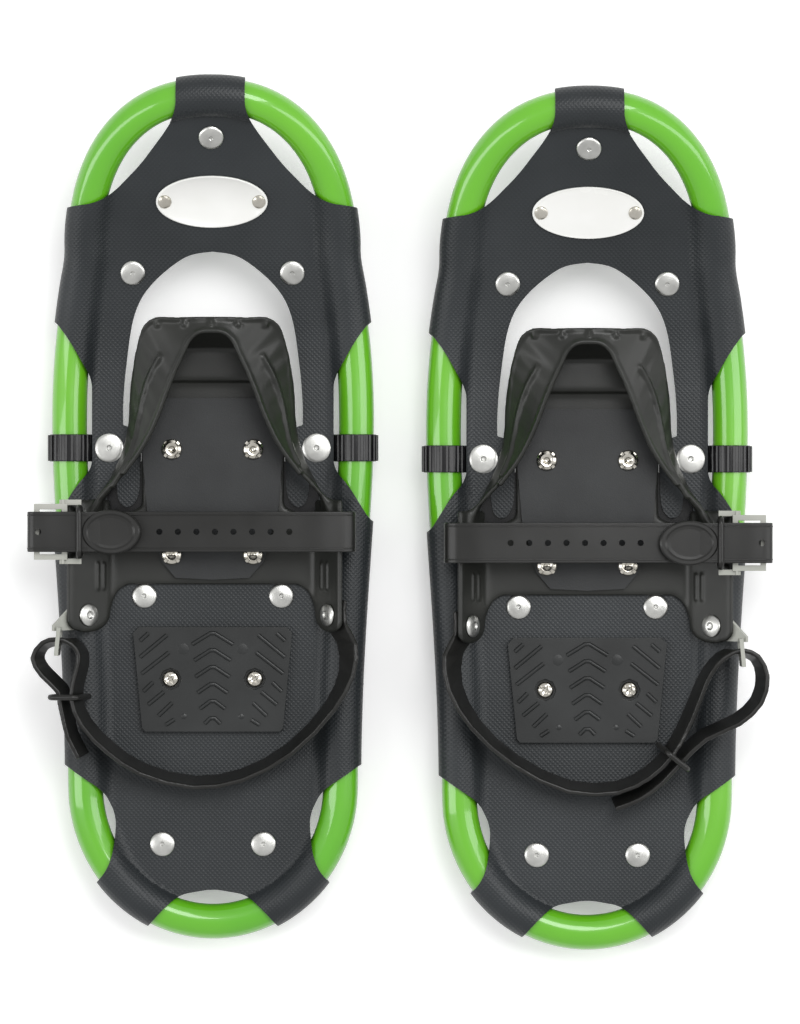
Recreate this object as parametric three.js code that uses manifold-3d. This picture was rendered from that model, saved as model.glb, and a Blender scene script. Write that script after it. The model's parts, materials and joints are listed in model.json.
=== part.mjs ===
// A pair of children's snowshoes: bent tube frames, fabric decks, hinged bindings and crampons.
// Units are millimetres, +Z is up, +Y points to the toes, the shoes stand on their crampon teeth.
// One shoe is built in its own frame: x = 0 on its long axis, +x towards the other shoe.
import * as THREE from "three";
import { mergeVertices } from "three/addons/utils/BufferGeometryUtils.js";
import Module from "manifold-3d";

const wasm = await Module();
wasm.setup();

// ---- driving dimensions ----
const GAP = 0.3; // between pieces that touch
const SHOE_PITCH = 203; // between the long axes of the two shoes
const STAGGER = 6; // how far the left shoe lies ahead of the right one

const TUBE_R = 9.5;
const TUBE_WALL = 1.3;
const TUBE_Z = 22; // height of the tube's centreline
const TUBE_SIDES = 8;
const END_X = 69.2; // half-width of the centreline where the side meets toe and tail
const TOE_Y = 135.6; // where the toe curve starts
const TOE_LEN = 86.4;
const TAIL_Y = -150; // where the tail curve starts
const TAIL_LEN = 73.5;
const TOE_POWER = 2.3; // squareness of the toe curve
const WAIST = 8.7; // how far the sides swell outwards
const SWELL_POWER = 1.9; // above 1 it moves the widest place towards the toe
const RISE_Y = 70; // where the toe starts to turn up
const RISE_LEN = 152;
const RISE = 45; // how high the toe is lifted

const DECK_T = 1.5;
const DECK_Z = 24.2; // underside of the deck
const FLAP_T = 1.2; // the folded edge under the deck
const DECK_TOP = DECK_Z + DECK_T;

const PIVOT_Y = 33.4; // the axis that the foot turns on
const STRAP_W = 14.7;
const STRAP_T = 2.5;
const STRAP_Z = 21.4; // underside of the pivot strap
const COLLAR_T = 1.8;

const RIVET_R = 6.7;
const RIVET_SHANK_R = 2.4;
const RIVET_HEAD_T = 1.3;
const PIVOT_RIVET_R = 7.8;
const PIVOT_RIVET_X = 56.2;
const BOLT_R = 2.5;
const BOLT_HEAD_R = 5.5;
const BOLT_CLEAR = 0.3;
const FASTENER_SIDES = 8;

const BASE_T = 3; // the harness where it lies on the deck
const BASE_Z = DECK_TOP + GAP;
const BASE_TOP = BASE_Z + BASE_T;
const BASE_HALF = 38.6; // half-width beside the deck's tongues
const STRAP_SPLIT = BASE_HALF + 0.2; // where the clamped middle of the pivot strap ends
const CORE_Z = STRAP_Z + STRAP_T + GAP; // the harness where it bears on the pivot strap
const WING_T = 3;
const WING_ROOT = { x: 57.5, z: 30.5 };
const WING_TOP = { inner: { x: 70, z: 48.5 }, outer: { x: 78, z: 47.5 } };
const EAR_Y = -57;
const EAR_END_Y = -67;
const WING_FRONT_Y = 6;
const LEG_T = 3.2;
const PAD_T = 3;
const PAD_Z = BASE_TOP + GAP;
const BOLT_X = 22;
const BOLT_FRONT_Y = 32.6;
const BOLT_REAR_Y = -24.4;

const CRAMPON_T = 2;
const CRAMPON_HALF = 35;
const CRAMPON_Z = STRAP_Z - GAP - CRAMPON_T;
const CRAMPON_FRONT_Y = 62;
const CRAMPON_REAR_Y = -29;

const HEEL_PAD_FRONT_Y = -63.5;
const HEEL_PAD_REAR_Y = -120.5;
const HEEL_PAD_T = 4;
const HEEL_BOLT_X = 22.8;
const HEEL_BOLT_Y = -91.8;
const HEEL_BOLT_HEAD_R = 4.5;
const COUNTERBORE_R = 6;
const COUNTERBORE_DEPTH = 2.6;

const WEB_T = 2.5; // thickness of the rubber straps
const INSTEP_W = 21.7;
const INSTEP_Y = -12;
const INSTEP_LAYER = 6.4; // between the two layers of the strap at its buckle
const HEEL_STRAP_W = 20;
const BUCKLE_T = 2.2;
const KEEPER_D = 2.6;

// ---- materials ----
function finish(color, roughness, metalness) {
  return new THREE.MeshStandardMaterial({ color, roughness, metalness });
}
const LACQUER = [0x3fc22e, 0.2, 0.3];
const FABRIC = [0x3c4144, 0.55, 0];
const RUBBER = [0x26282a, 0.5, 0];
const PLASTIC = [0x2b2e2f, 0.45, 0];
const GREY = [0xa9aba4, 0.4, 0.2];
const ALUMINIUM = [0xc9cac8, 0.3, 1];
const STEEL = [0xb5b2a8, 0.25, 1];
const WHITE = [0xf2f2ee, 0.35, 0];

// ---- solids ----
// Turns a closed three.js geometry into a solid that faces outwards.
function solid(geometry) {
  geometry.deleteAttribute("normal");
  geometry.deleteAttribute("uv");
  const merged = mergeVertices(geometry, 1e-4);
  const points = merged.getAttribute("position").array;
  const index = Uint32Array.from(merged.index.array);
  const corner = (i) => new THREE.Vector3().fromArray(points, 3 * index[i]);
  let volume = 0;
  for (let i = 0; i < index.length; i += 3) {
    volume += corner(i).dot(corner(i + 1).cross(corner(i + 2)));
  }
  if (volume < 0) {
    for (let i = 0; i < index.length; i += 3) {
      [index[i], index[i + 1]] = [index[i + 1], index[i]];
    }
  }
  return new wasm.Manifold(
    new wasm.Mesh({ numProp: 3, vertProperties: Float32Array.from(points), triVerts: index }),
  );
}

function mesh(name, body, look) {
  const result = body.getMesh();
  const geometry = new THREE.BufferGeometry();
  geometry.setAttribute("position", new THREE.BufferAttribute(result.vertProperties, 3));
  geometry.setIndex(new THREE.BufferAttribute(result.triVerts, 1));
  const piece = new THREE.Mesh(geometry, finish(...look));
  piece.name = name;
  return piece;
}

function outline(points) {
  return new THREE.Shape(points.map(([x, y]) => new THREE.Vector2(x, y)));
}

// Adds the other half of an outline that is given for x >= 0, from front to back.
function mirrored(half) {
  const other = half.filter(([x]) => x > 0).map(([x, y]) => [-x, y]);
  return [...half, ...other.reverse()];
}

function prism(shape, z0, z1, curveSegments = 6) {
  const flat = shape instanceof THREE.Shape ? shape : outline(shape);
  const options = { depth: z1 - z0, bevelEnabled: false, curveSegments };
  return solid(new THREE.ExtrudeGeometry(flat, options).translate(0, 0, z0));
}

// An outline in the Y-Z plane, extruded along X.
function crossPrism(points, x0, x1) {
  const options = { depth: x1 - x0, bevelEnabled: false };
  const geometry = new THREE.ExtrudeGeometry(outline(points), options);
  const toYz = new THREE.Matrix4().makeBasis(
    new THREE.Vector3(0, 1, 0),
    new THREE.Vector3(0, 0, 1),
    new THREE.Vector3(1, 0, 0),
  );
  return solid(geometry.applyMatrix4(toYz).translate(x0, 0, 0));
}

// An outline in the X-Z plane, extruded along Y.
function lengthPrism(points, y0, y1) {
  const options = { depth: y1 - y0, bevelEnabled: false };
  const geometry = new THREE.ExtrudeGeometry(outline(points), options);
  return solid(geometry.rotateX(Math.PI / 2).translate(0, y1, 0));
}

function box(x0, x1, y0, y1, z0, z1) {
  const geometry = new THREE.BoxGeometry(x1 - x0, y1 - y0, z1 - z0);
  return solid(geometry.translate((x0 + x1) / 2, (y0 + y1) / 2, (z0 + z1) / 2));
}

function cylinder(radius, z0, z1, sides = FASTENER_SIDES) {
  const geometry = new THREE.CylinderGeometry(radius, radius, z1 - z0, sides);
  return solid(geometry.rotateX(Math.PI / 2).translate(0, 0, (z0 + z1) / 2));
}

// A turned piece: [radius, height] pairs from bottom to top, closed on the axis.
function turned(profile, sides = FASTENER_SIDES) {
  const points = profile.map(([r, z]) => new THREE.Vector2(r, z));
  return solid(new THREE.LatheGeometry(points, sides).rotateX(Math.PI / 2));
}

// Places a solid: position, and turn about X or Y in radians.
function placed(body, [x, y, z], { aboutX = 0, aboutY = 0 } = {}) {
  const degrees = 180 / Math.PI;
  return body.rotate([aboutX * degrees, aboutY * degrees, 0]).translate([x, y, z]);
}

function join(first, ...others) {
  return others.reduce((sum, other) => sum.add(other), first);
}

function cut(first, ...others) {
  return others.reduce((rest, other) => rest.subtract(other), first);
}

// A flat band between two edges in space, thickened by equal halves along its own normal.
function band(edgeA, edgeB, thickness, steps) {
  const curveA = new THREE.CatmullRomCurve3(edgeA.map((p) => new THREE.Vector3(...p)));
  const curveB = new THREE.CatmullRomCurve3(edgeB.map((p) => new THREE.Vector3(...p)));
  const pointsA = curveA.getPoints(steps);
  const pointsB = curveB.getPoints(steps);
  const positions = [];
  for (let i = 0; i <= steps; i += 1) {
    const before = Math.max(i - 1, 0);
    const after = Math.min(i + 1, steps);
    const along = pointsA[after].clone().add(pointsB[after]).sub(pointsA[before]).sub(pointsB[before]);
    const normal = pointsB[i].clone().sub(pointsA[i]).cross(along).setLength(thickness / 2);
    for (const [point, side] of [[pointsA[i], 1], [pointsB[i], 1], [pointsB[i], -1], [pointsA[i], -1]]) {
      positions.push(...point.clone().addScaledVector(normal, side).toArray());
    }
  }
  const index = [0, 1, 2, 0, 2, 3];
  for (let i = 0; i < steps; i += 1) {
    for (let k = 0; k < 4; k += 1) {
      const a = 4 * i + k;
      const b = 4 * i + ((k + 1) % 4);
      index.push(b, a, a + 4, b, a + 4, b + 4);
    }
  }
  const last = 4 * steps;
  index.push(last + 2, last + 1, last, last + 3, last + 2, last);
  const geometry = new THREE.BufferGeometry();
  geometry.setAttribute("position", new THREE.Float32BufferAttribute(positions, 3));
  geometry.setIndex(index);
  return solid(geometry);
}

// The outline of a strip of even thickness along a smooth line in a plane.
function ribbon(points, thickness, steps) {
  const line = new THREE.SplineCurve(points.map(([x, y]) => new THREE.Vector2(x, y)));
  const left = [];
  const right = [];
  for (let i = 0; i <= steps; i += 1) {
    const at = line.getPoint(i / steps);
    const along = line.getTangent(i / steps);
    const offset = new THREE.Vector2(-along.y, along.x).multiplyScalar(thickness / 2);
    left.push([at.x + offset.x, at.y + offset.y]);
    right.push([at.x - offset.x, at.y - offset.y]);
  }
  return [...left, ...right.reverse()];
}

function framedSlot(halfWidth, halfHeight, bar) {
  const corners = (w, h) => [[-w, -h], [w, -h], [w, h], [-w, h]];
  const shape = outline(corners(halfWidth + bar, halfHeight + bar));
  shape.holes.push(outline(corners(halfWidth, halfHeight)));
  return shape;
}

// ---- the frame's line ----
function lift(y) {
  return y > RISE_Y ? RISE * ((y - RISE_Y) / RISE_LEN) ** 2 : 0;
}

function slope(y) {
  return y > RISE_Y ? Math.atan((2 * RISE * (y - RISE_Y)) / RISE_LEN ** 2) : 0;
}

// Half of the centreline, from the tail to the toe.
function halfLine() {
  const points = [];
  const bend = (steps, from, to, place) => {
    for (let i = from; i <= to; i += 1) {
      points.push(place((Math.PI / 2) * (i / steps)));
    }
  };
  bend(5, 0, 4, (a) => [END_X * Math.sin(a), TAIL_Y - TAIL_LEN * Math.cos(a)]);
  const sideSteps = 5;
  for (let i = 0; i <= sideSteps; i += 1) {
    const share = i / sideSteps;
    const swell = WAIST * Math.sin(Math.PI * share ** SWELL_POWER);
    points.push([END_X + swell, TAIL_Y + (TOE_Y - TAIL_Y) * share]);
  }
  bend(6, 1, 6, (a) => [
    END_X * Math.cos(a) ** (2 / TOE_POWER),
    TOE_Y + TOE_LEN * Math.sin(a) ** (2 / TOE_POWER),
  ]);
  return points;
}

// A smooth line that is cut into steps at its own knots, so bends get short steps.
class KnotLine extends THREE.CatmullRomCurve3 {
  getPointAt(u, target) {
    return this.getPoint(u, target);
  }

  getTangentAt(u, target) {
    return this.getTangent(u, target);
  }
}

function frameLine() {
  const half = halfLine();
  half[0][0] = 0.5; // the tube's ends meet at the tail with a hairline gap
  const other = half.slice(0, -1).map(([x, y]) => [-x, y]);
  const knots = [...half, ...other.reverse()];
  return new KnotLine(knots.map(([x, y]) => new THREE.Vector3(x, y, TUBE_Z + lift(y))));
}

function tubeSolid(radius, bore = 0) {
  const path = frameLine();
  const section = new THREE.Shape();
  section.absarc(0, 0, radius, 0, 2 * Math.PI);
  if (bore > 0) {
    const hole = new THREE.Path();
    hole.absarc(0, 0, bore, 0, 2 * Math.PI);
    section.holes.push(hole);
  }
  const steps = path.points.length - 1;
  const options = { steps, curveSegments: TUBE_SIDES / 2, extrudePath: path };
  return solid(new THREE.ExtrudeGeometry(section, options));
}

// Half-width of the centreline at a place along the side.
function frameX(y) {
  const side = halfLine();
  const after = side.findIndex((point) => point[1] >= y);
  const [[x0, y0], [x1, y1]] = [side[after - 1], side[after]];
  return x0 + ((x1 - x0) * (y - y0)) / (y1 - y0);
}

// ---- fasteners ----
// A rivet or bolt on the axis: head above z = 0, shank and tail below.
function fastener(headR, headT, shankR, grip, tailR, tailT) {
  return turned([
    [0, -grip - tailT],
    [tailR, -grip - tailT],
    [tailR, -grip],
    [shankR, -grip],
    [shankR, 0],
    [headR, 0],
    [headR, headT * 0.45],
    [headR * 0.72, headT],
    [0, headT],
  ]);
}

function drill(radius, depth) {
  return cylinder(radius + BOLT_CLEAR, -depth, depth);
}

// Deck rivets that are modelled here: [name, x, y].
const DECK_RIVETS = [
  ["toe_rivet", 0, 199.8],
  ["mid_rivet_inner", 43.2, 128],
  ["mid_rivet_outer", -43.2, 128],
  ["tail_rivet_inner", 27.4, -181.4],
  ["tail_rivet_outer", -27.4, -181.4],
];

// A solid that is drawn about z = 0 is set square on the deck's top face.
function onDeck(body, x, y, above = GAP) {
  return placed(body, [x, y, DECK_TOP + lift(y) + above], { aboutX: slope(y) });
}

function deckRivets() {
  const grip = DECK_T + FLAP_T + 2 * GAP;
  const body = fastener(RIVET_R, RIVET_HEAD_T, RIVET_SHANK_R, grip, 4.5, 1);
  return DECK_RIVETS.map(([name, x, y]) => mesh(name, onDeck(body, x, y), ALUMINIUM));
}

// ---- frame and deck ----
const WRAP_X = TUBE_R + 95; // beyond the frame on each side

function deckOutline() {
  const arm = frameX(PIVOT_Y) - TUBE_R - GAP - DECK_T - 0.4;
  return mirrored([
    [18.5, TOE_Y + TOE_LEN + 25],
    [18.5, 213],
    [24, 204],
    [38, 186],
    [53, 171],
    [62, 165],
    [WRAP_X, 160],
    [WRAP_X, 107],
    [86, 103],
    [77, 91],
    [72, 82],
    [arm, 71],
    [arm, 22],
    [73.6, 13],
    [86, -7],
    [WRAP_X, -12],
    [WRAP_X, -132],
    [82, -137],
    [69, -146],
    [58.9, -152.6],
    [52.4, -166],
    [53.2, -182.4],
    [56.5, -194.4],
    [72, -213],
    [46, TAIL_Y - TAIL_LEN - 15],
    [27.2, -216.7],
    [18.5, -209],
    [0, -205.8],
  ]);
}

// The opening that the toe and its crampon swing through, with a tongue beside the foot pad.
function deckOpening() {
  const tongue = BASE_HALF + 1;
  return mirrored([
    [0, 139.5],
    [15.2, 134.7],
    [33.4, 120.5],
    [42.6, 104.8],
    [47, 77.6],
    [48.6, 58.6],
    [48.7, 45.8],
    [tongue + 1.5, 43.5],
    [tongue, 36],
    [tongue, 12],
    [tongue + 2, 4],
    [46, 1],
    [50.5, 3],
    [52.5, 14],
    [57.5, 12],
    [57.5, -24],
    [50, -32],
    [0, -32],
  ]);
}

// The sheet is a strip of the same rise as the frame, cut to the outline.
function deckSheet(bottom, thickness) {
  const low = [];
  const high = [];
  const stations = [-260, RISE_Y];
  for (let y = RISE_Y + 18; y < TOE_Y + TOE_LEN + 30; y += 18) {
    stations.push(y);
  }
  for (const y of stations) {
    low.push([y, bottom + lift(y)]);
    high.push([y, bottom + thickness + lift(y)]);
  }
  return crossPrism([...low, ...high.reverse()], -WRAP_X, WRAP_X);
}

function tubeClearance() {
  return tubeSolid(TUBE_R + GAP);
}

function deck() {
  const shape = deckOutline();
  const tall = [0, 140];
  const plan = prism(shape, ...tall).subtract(prism(deckOpening(), ...tall));
  const withinFrame = mirrored([
    [0, TOE_Y + TOE_LEN - 10],
    [30, TOE_Y + TOE_LEN - 12],
    [62, 170],
    [70, 100],
    [70, TAIL_Y],
    [40, TAIL_Y - TAIL_LEN + 18.5],
    [0, TAIL_Y - TAIL_LEN + 8.5],
  ]);
  const inside = prism(withinFrame, ...tall);
  const sheet = deckSheet(DECK_Z, DECK_T).intersect(inside);
  const flapZones = join(
    box(33, 90, 112, 150, ...tall),
    box(-90, -33, 112, 150, ...tall),
    box(-14, 14, 188, TOE_Y + TOE_LEN + 18, ...tall),
    box(16, 50, -215, -170, ...tall),
    box(-50, -16, -215, -170, ...tall),
  );
  const flaps = deckSheet(DECK_Z - FLAP_T, FLAP_T + DECK_T / 2).intersect(flapZones).intersect(inside);
  const sleeve = tubeSolid(TUBE_R + GAP + DECK_T);
  const whole = join(sheet, flaps, sleeve).intersect(plan);
  const holes = DECK_RIVETS.map(([, x, y]) => onDeck(drill(RIVET_SHANK_R, 8), x, y));
  for (const side of [-1, 1]) {
    holes.push(placed(drill(RIVET_SHANK_R, 12), [side * PIVOT_RIVET_X, PIVOT_Y, DECK_TOP]));
    holes.push(placed(drill(BOLT_R, 12), [side * HEEL_BOLT_X, HEEL_BOLT_Y, DECK_TOP]));
  }
  return mesh("deck", cut(whole, tubeClearance(), ...holes), FABRIC);
}

// ---- pivot strap ----
function strapEnd(side) {
  const centre = frameX(PIVOT_Y);
  const half = STRAP_W / 2;
  const collar = cylinder(TUBE_R + GAP + COLLAR_T, -half, half, 16);
  const ring = placed(collar, [side * centre, PIVOT_Y, TUBE_Z], { aboutX: Math.PI / 2 });
  const from = STRAP_SPLIT + GAP;
  const to = centre - TUBE_R;
  const x0 = side > 0 ? from : -to;
  const flat = box(x0, x0 + to - from, PIVOT_Y - half, PIVOT_Y + half, STRAP_Z, STRAP_Z + STRAP_T);
  const hole = placed(drill(RIVET_SHANK_R, 12), [side * PIVOT_RIVET_X, PIVOT_Y, STRAP_Z]);
  const name = side > 0 ? "pivot_strap_inner" : "pivot_strap_outer";
  return mesh(name, cut(join(ring, flat), tubeClearance(), hole), PLASTIC);
}

function strapMiddle() {
  const half = STRAP_W / 2;
  const y = [PIVOT_Y - half, PIVOT_Y + half];
  const flat = box(-STRAP_SPLIT, STRAP_SPLIT, ...y, STRAP_Z, STRAP_Z + STRAP_T);
  return mesh("pivot_strap_middle", cut(flat, ...bindingHoles()), PLASTIC);
}

function pivotRivets() {
  const grip = DECK_TOP - STRAP_Z + 2 * GAP;
  const body = fastener(PIVOT_RIVET_R, 0.9, RIVET_SHANK_R, grip, 5, 1);
  return [-1, 1].map((side) => {
    const name = side > 0 ? "pivot_rivet_inner" : "pivot_rivet_outer";
    return mesh(name, onDeck(body, side * PIVOT_RIVET_X, PIVOT_Y), ALUMINIUM);
  });
}

// ---- plates on the deck ----
const NAME_Y = 166.2;

function namePlate() {
  const oval = new THREE.Shape();
  oval.absellipse(0, 0, 30.1, 14.6, 0, 2 * Math.PI);
  const parts = [prism(oval, 0, 1.2, 12)];
  for (const side of [-1, 1]) {
    parts.push(placed(turned([[0, 0.5], [3.8, 0.5], [3.8, 1.6], [2.4, 2.3], [0, 2.3]]), [side * 25.5, 0, 0]));
  }
  const rocker = 0.5; // the deck curves up under the plate's front and back edges
  return mesh("name_plate", onDeck(join(...parts), 0, NAME_Y, GAP + rocker), WHITE);
}

function heelPad() {
  const z = DECK_TOP + GAP;
  const shape = mirrored([
    [40, HEEL_PAD_FRONT_Y],
    [43.2, HEEL_PAD_FRONT_Y - 3.2],
    [38.3, HEEL_PAD_REAR_Y + 2],
    [36.5, HEEL_PAD_REAR_Y],
  ]);
  const holes = [];
  for (const side of [-1, 1]) {
    const at = [side * HEEL_BOLT_X, HEEL_BOLT_Y, z + HEEL_PAD_T];
    holes.push(placed(drill(BOLT_R, 12), at));
    holes.push(placed(cylinder(COUNTERBORE_R, -COUNTERBORE_DEPTH, 1), at));
  }
  return mesh("heel_pad", cut(prism(shape, z, z + HEEL_PAD_T), ...holes), PLASTIC);
}

// A row of pointed teeth along a line, drawn as an outline from the plate down to the ground.
function teeth(from, to, top, count) {
  const step = (to - from) / count;
  const points = [[from, top]];
  for (let i = 0; i < count; i += 1) {
    const start = from + i * step;
    points.push([start, top * 0.42], [start + step * 0.36, 0], [start + step * 0.64, 0]);
  }
  points.push([to, top * 0.42], [to, top]);
  return points;
}

function heelCrampon() {
  const top = DECK_Z - GAP;
  const low = top - CRAMPON_T;
  const half = 32;
  const rear = -112;
  const front = -72;
  const parts = [box(-half, half, rear, front, low, top)];
  for (const x of [-half, half - CRAMPON_T]) {
    parts.push(crossPrism(teeth(rear, front, low + 0.5, 3), x, x + CRAMPON_T));
  }
  const headZ = DECK_TOP + GAP + HEEL_PAD_T - COUNTERBORE_DEPTH + GAP;
  for (const side of [-1, 1]) {
    const body = fastener(HEEL_BOLT_HEAD_R, 2, BOLT_R, headZ - top + 0.5, 4.5, 1);
    parts.push(placed(body, [side * HEEL_BOLT_X, HEEL_BOLT_Y, headZ]));
  }
  return mesh("heel_crampon", join(...parts), STEEL);
}

// ---- binding ----
const BINDING_BOLTS = [
  ["front_bolt_inner", BOLT_X, BOLT_FRONT_Y],
  ["front_bolt_outer", -BOLT_X, BOLT_FRONT_Y],
  ["rear_bolt_inner", BOLT_X, BOLT_REAR_Y],
  ["rear_bolt_outer", -BOLT_X, BOLT_REAR_Y],
];

function bindingHoles() {
  return BINDING_BOLTS.map(([, x, y]) => placed(drill(BOLT_R, 30), [x, y, BASE_TOP]));
}

function bindingBolts() {
  const headZ = PAD_Z + PAD_T + GAP;
  const grip = headZ - CRAMPON_Z + GAP;
  const body = fastener(BOLT_HEAD_R, 2.6, BOLT_R, grip, 4.2, 2.4);
  return BINDING_BOLTS.map(([name, x, y]) => mesh(name, placed(body, [x, y, headZ]), STEEL));
}

function footPad() {
  const shape = mirrored([
    [0, 60.3],
    [34, 60.3],
    [37, 57],
    [38, 30],
    [35.5, 0],
    [27.7, -28],
    [20, -37],
    [0, -38],
  ]);
  return mesh("foot_pad", cut(prism(shape, PAD_Z, PAD_Z + PAD_T), ...bindingHoles()), PLASTIC);
}

function toeCrampon() {
  const [rear, front] = [CRAMPON_REAR_Y, CRAMPON_FRONT_Y];
  const top = CRAMPON_Z + CRAMPON_T;
  const parts = [box(-CRAMPON_HALF, CRAMPON_HALF, rear, front, CRAMPON_Z, top)];
  for (const x of [-CRAMPON_HALF, CRAMPON_HALF - CRAMPON_T]) {
    parts.push(crossPrism(teeth(rear, front, CRAMPON_Z + 0.5, 6), x, x + CRAMPON_T));
  }
  const across = teeth(-CRAMPON_HALF, CRAMPON_HALF, CRAMPON_Z + 0.5, 4);
  parts.push(lengthPrism(across, front - CRAMPON_T, front));
  return mesh("toe_crampon", cut(join(...parts), ...bindingHoles()), STEEL);
}

function wingTop(side) {
  return side > 0 ? WING_TOP.inner : WING_TOP.outer;
}

// The flat of an ear: its middle, its tilt and the direction square to it.
function ear(side) {
  const top = wingTop(side);
  const angle = Math.atan2(top.z - WING_ROOT.z, top.x - WING_ROOT.x);
  return {
    x: (side * (top.x + WING_ROOT.x)) / 2,
    z: (top.z + WING_ROOT.z) / 2,
    aboutY: -side * angle,
    up: [-side * Math.sin(angle), Math.cos(angle)],
  };
}

// Sets a solid on an ear, a distance along the ear's normal from its mid-surface.
function onEar(body, side, distance) {
  const { x, z, aboutY, up } = ear(side);
  return placed(body, [x + up[0] * distance, EAR_Y, z + up[1] * distance], { aboutY });
}

function wing(side) {
  const top = wingTop(side);
  const line = [
    [46, BASE_TOP - WING_T / 2],
    [53, BASE_TOP - WING_T / 2],
    [WING_ROOT.x, WING_ROOT.z],
    [top.x, top.z],
  ];
  const section = ribbon(line.map(([x, z]) => [side * x, z]), WING_T, 9);
  const slab = lengthPrism(section, EAR_END_Y - 1, WING_FRONT_Y);
  const middle = ear(side).x;
  const reach = Math.abs(side * top.x - middle) + 2.2;
  const plan = new THREE.Shape();
  plan.absellipse(middle, EAR_Y, reach, EAR_Y - EAR_END_Y, Math.PI, 2 * Math.PI);
  plan.lineTo(middle + reach, WING_FRONT_Y - 14);
  plan.lineTo(middle + reach, WING_FRONT_Y);
  plan.lineTo(middle - reach, WING_FRONT_Y);
  return slab.intersect(prism(plan, 20, 60));
}

// The toe cage: one band from wing to wing over the toes, low outer edge and high inner edge.
function toeCage() {
  const low = [
    [0, 104, 57],
    [18, 103.5, 56],
    [34, 102.2, 50.5],
    [40.4, 88, 42],
    [43.2, 67, 36.5],
    [44.6, 46, 35],
    [50, 25, 33],
    [60, 4, 35.5],
  ];
  const high = [
    [0, 96, 60.5],
    [9, 94, 60.5],
    [16, 82, 59.5],
    [23, 66, 57.5],
    [29, 50, 55],
    [37, 34, 51.5],
    [48, 19, 47],
    [62, 5, 43.5],
  ];
  const full = (edge, side) => edge.map(([x, y, z]) => [side * x, y, z]);
  const tip = (side, rise) => {
    const top = wingTop(side);
    const share = rise / (top.z - WING_ROOT.z);
    return [side * (WING_ROOT.x + (top.x - WING_ROOT.x) * share), -14, WING_ROOT.z + rise];
  };
  const both = (edge, rise) => [
    tip(1, rise),
    ...full(edge.slice(1), 1).reverse(),
    edge[0],
    ...full(edge.slice(1), -1),
    tip(-1, rise),
  ];
  return band(both(low, 5), both(high, 12.5), LEG_T, 30);
}

// The sides of the base stand up to meet the toe cage.
function baseWalls(side) {
  const foot = [[38.4, 84, BASE_Z], [41, 67, BASE_Z], [38, 46, BASE_Z]];
  const head = [[39, 86, 43], [43, 67, 37.5], [44.4, 46, 36]];
  const flip = (edge) => edge.map(([x, y, z]) => [side * x, y, z]);
  return band(flip(foot), flip(head), LEG_T, 6);
}

// The front wall of the toe cage, leaning forwards from the base to the middle of the band.
function toeWall() {
  const foot = [[-30, 85.5, BASE_Z + 1], [0, 86.5, BASE_Z + 1], [30, 85.5, BASE_Z + 1]];
  const head = [[-27, 97.5, 53.5], [0, 99.5, 57.5], [27, 97.5, 53.5]];
  return band(foot, head, LEG_T - 0.7, 6);
}

function harness() {
  const core = mirrored([
    [0, 88],
    [26, 87],
    [37, 84],
    [41.5, 72],
    [41.5, 60],
    [BASE_HALF, 47],
    [BASE_HALF, -4],
    [50, -9],
    [50, -24],
    [44, -29],
    [0, -29],
  ]);
  const rear = mirrored([
    [BASE_HALF, 2],
    [56, -6],
    [58.5, -10],
    [59.5, EAR_Y],
    [56, EAR_Y - 1],
    [54, -50],
    [51, -44],
    [46, -40.7],
    [0, -40.7],
  ]);
  const crossbar = mirrored([[0, 86], [24, 85.5], [37, 83], [37, 68], [20, 69.5], [0, 70]]);
  const parts = [
    prism(core, CORE_Z, BASE_TOP),
    prism(rear, BASE_Z, BASE_TOP),
    prism(crossbar, BASE_TOP - 0.5, BASE_TOP + 3.4),
    toeCage(),
    toeWall(),
  ];
  const holes = bindingHoles();
  for (const side of [-1, 1]) {
    parts.push(wing(side), baseWalls(side));
    holes.push(onEar(drill(RIVET_SHANK_R, 9), side, 0));
    const boss = cylinder(6, CRAMPON_Z + CRAMPON_T + GAP, BASE_Z);
    parts.push(placed(boss, [side * BOLT_X, BOLT_REAR_Y, 0]));
  }
  return mesh("harness", cut(join(...parts), ...holes), RUBBER);
}

function earRivets() {
  const under = { inner: WEB_T, outer: BUCKLE_T };
  return [-1, 1].map((side) => {
    const name = side > 0 ? "inner" : "outer";
    const grip = WING_T + under[name] + 2 * GAP;
    const body = fastener(5.9, 1.4, RIVET_SHANK_R, grip, RIVET_SHANK_R, 0.3);
    return mesh(`ear_rivet_${name}`, onEar(body, side, WING_T / 2 + GAP), ALUMINIUM);
  });
}

// ---- instep strap ----
const STRAP_LOW = WING_TOP.outer.z + WING_T * 0.4 + GAP + WEB_T / 2; // lower layer beside the buckle
const STRAP_HIGH = STRAP_LOW + INSTEP_LAYER;
const LOOP_X = -99; // where the strap turns back
const TAB_END_X = -38;

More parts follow.
